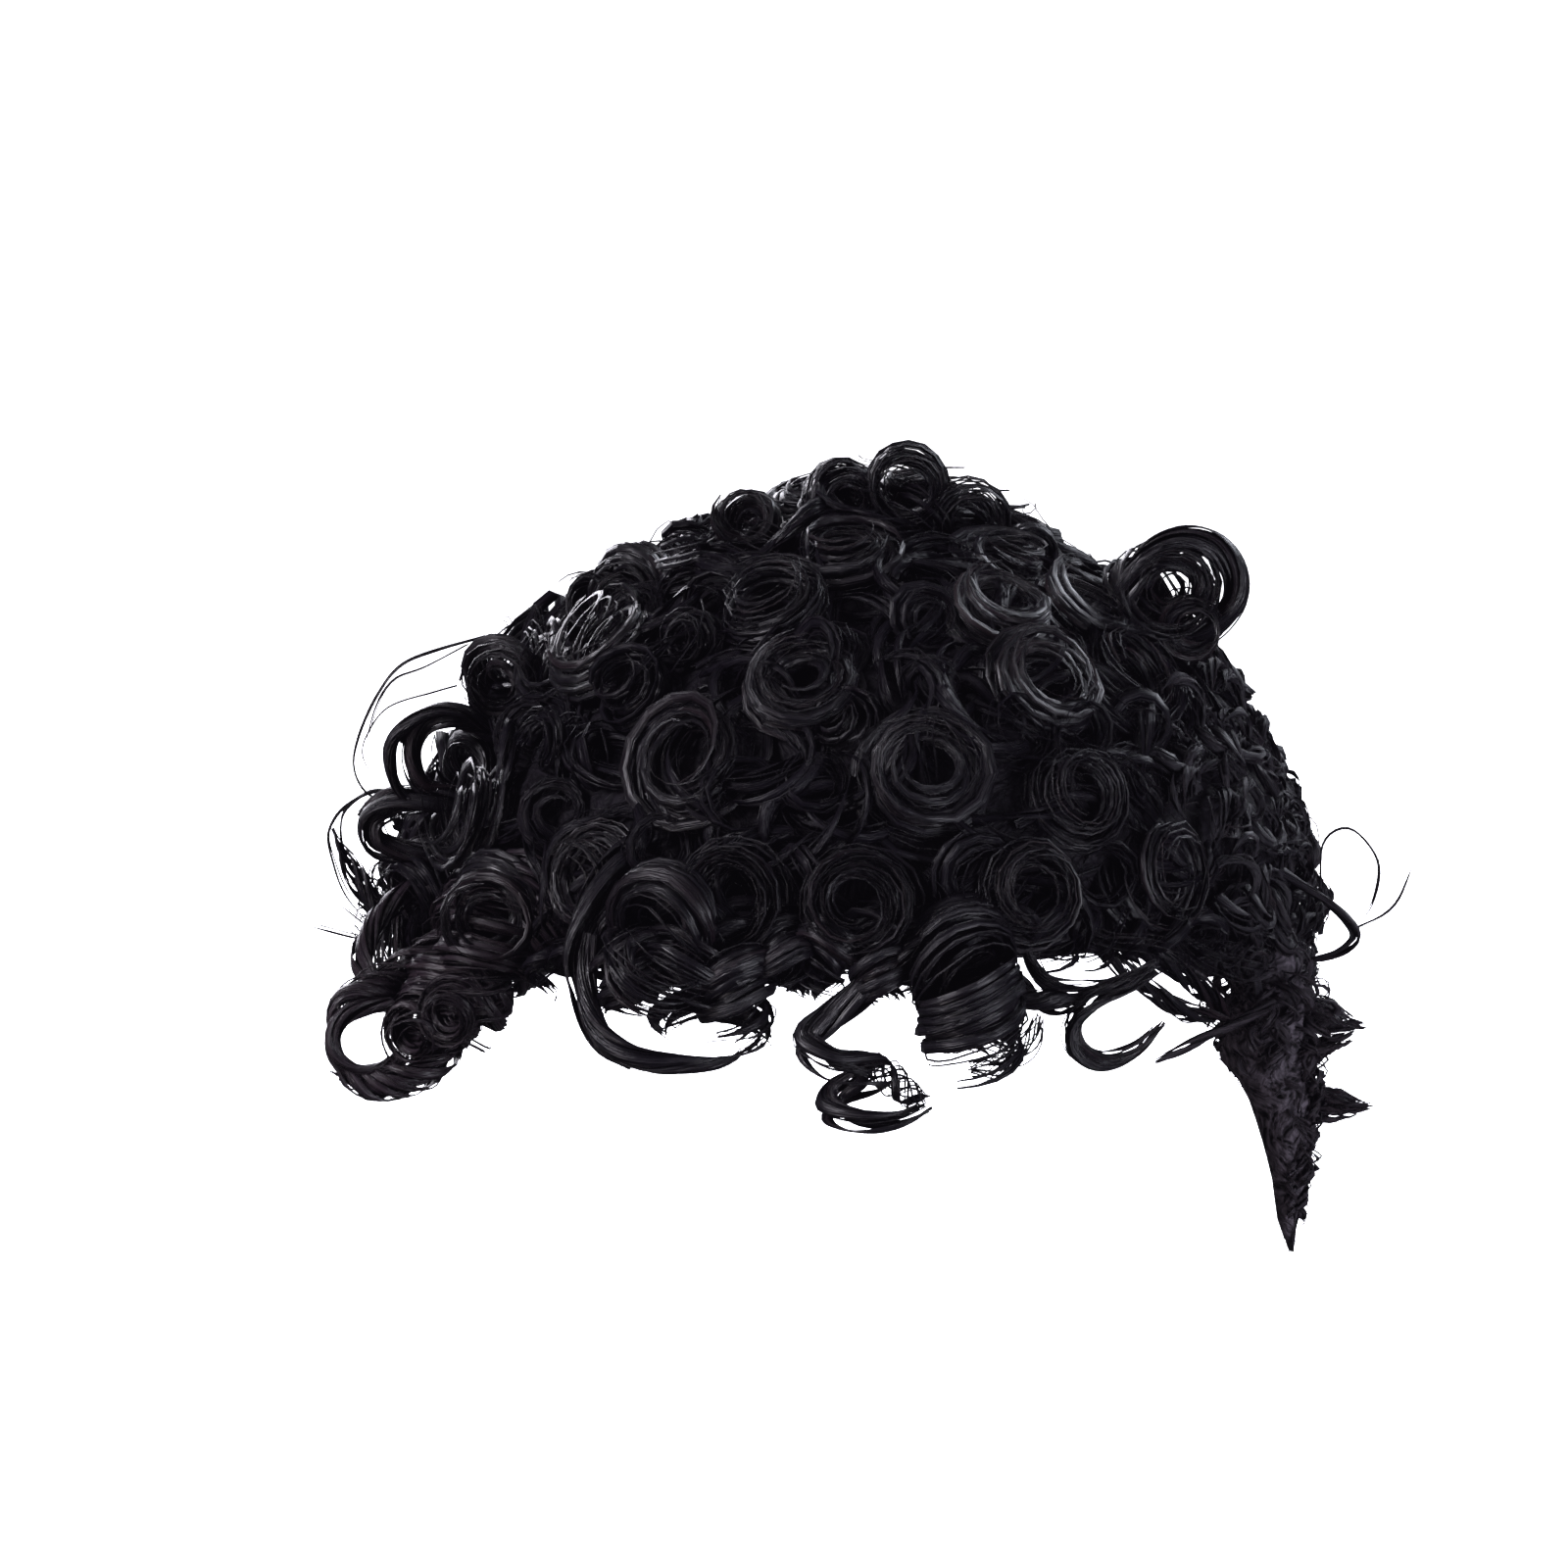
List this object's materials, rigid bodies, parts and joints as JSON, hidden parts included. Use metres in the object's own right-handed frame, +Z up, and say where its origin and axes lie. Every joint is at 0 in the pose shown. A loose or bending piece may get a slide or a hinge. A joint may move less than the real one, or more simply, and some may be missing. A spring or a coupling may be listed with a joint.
{
  "type": "short curly wig",
  "caption": "Short black wig of ringlets on a net cap, with a curled fringe, a long temple lock, a close-cropped side and a pointed sideburn.",
  "frame": {"origin": "the point inside the cap that rests on the top of the wearer's head", "axes": "+Z up along the wearer's height, -Y to the wearer's front, +X to the wearer's left"},
  "size_m": [0.2239, 0.2478, 0.165],
  "materials": {
    "hair": "soft sheen",
    "cap_net": "matte net"
  },
  "bodies": {
    "root": {"cap": "cap_net", "crown_curls": "hair", "fringe_curls": "hair", "right_side_curls": "hair", "temple_lock": "hair", "left_crop": "hair", "left_sideburn": "hair", "back_curls": "hair", "nape_curls": "hair"}
  },
  "joints": []
}
